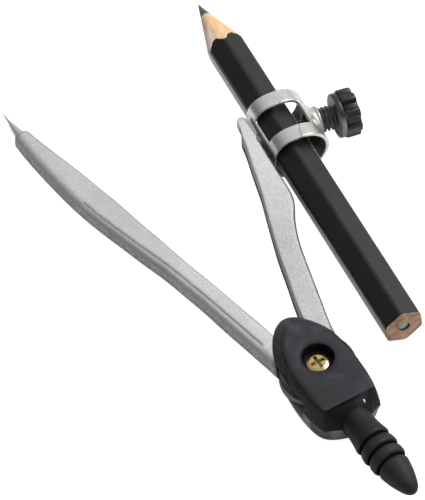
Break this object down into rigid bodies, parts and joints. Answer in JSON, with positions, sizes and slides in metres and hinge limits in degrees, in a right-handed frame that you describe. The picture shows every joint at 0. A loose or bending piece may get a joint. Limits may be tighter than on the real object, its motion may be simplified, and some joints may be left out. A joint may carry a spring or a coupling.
{
  "type": "drawing compass",
  "caption": "School drawing compass with a friction pivot head, a turned grip, a needle leg and a screwed clamp holding a short hexagonal pencil.",
  "frame": {"origin": "on the pivot axis, in the flat rear face of the head", "axes": "+Z along the pivot axis out of the head's front face, +Y from the head along the closed legs' direction towards the points, -Y along the grip, +X towards the pencil side"},
  "size_m": [0.0602, 0.1184, 0.0108],
  "materials": {
    "head_plastic": "charcoal moulded plastic with a fine satin grain",
    "rear_plastic": "dark grey moulded plastic, satin",
    "grip_plastic": "near-black moulded plastic, semi gloss",
    "screw_plated": "yellow passivated steel screw",
    "nut_plated": "zinc-plated steel",
    "washer_fibre": "hard fibre friction disc",
    "leg_metal": "satin cast zinc alloy, silver",
    "needle_steel": "polished hardened steel",
    "clamp_metal": "nickel-plated cast metal, slightly rough",
    "stud_steel": "plated steel thread",
    "knob_plastic": "black moulded plastic, semi gloss",
    "pencil_wood": "cedar with a dark gloss paint film on the six faces",
    "lead_graphite": "graphite, slight metallic sheen"
  },
  "bodies": {
    "head": {"front_cover": "head_plastic", "rear_cover": "rear_plastic", "grip_handle": "grip_plastic", "pivot_screw": "screw_plated", "pivot_nut": "nut_plated", "friction_washer": "washer_fibre"},
    "needle_arm": {"needle_leg": "leg_metal", "needle_point": "needle_steel"},
    "pencil_arm": {"pencil_leg": "leg_metal", "clamp_ring": "clamp_metal", "clamp_rivet": "stud_steel"},
    "pencil": {"pencil_slat_lower": "pencil_wood", "pencil_slat_upper": "pencil_wood", "pencil_lead": "lead_graphite"},
    "stud": {"thumb_screw_stud": "knob_plastic"},
    "knob": {"thumb_screw_knob": "knob_plastic"}
  },
  "joints": [
    {"name": "needle_leg_swing", "type": "hinge", "parent": "head", "child": "needle_arm", "pos_m": [0, 0, 0.0047], "axis": [0, 0, 1], "range_deg": [-12, 68]},
    {"name": "pencil_leg_swing", "type": "hinge", "parent": "head", "child": "pencil_arm", "pos_m": [0, 0, 0.0047], "axis": [0, 0, -1], "range_deg": [-15.5, 60]},
    {"name": "pencil_slide", "type": "slide", "parent": "pencil_arm", "child": "pencil", "axis": [0.0879, 0.9961, 0], "range_m": [-0.003, 0.012]},
    {"name": "stud_travel", "type": "slide", "parent": "pencil_arm", "child": "stud", "axis": [0.9808, -0.1949, 0], "range_m": [0, 0.0024]},
    {"name": "knob_turn", "type": "hinge", "parent": "stud", "child": "knob", "pos_m": [0.0306, 0.04977, 0.0047], "axis": [0.9808, -0.1949, 0], "range_deg": [0, 1081]}
  ],
  "couplings": [
    {"joint": "knob_turn", "follows": "stud_travel", "rad_per_m": 7854}
  ]
}
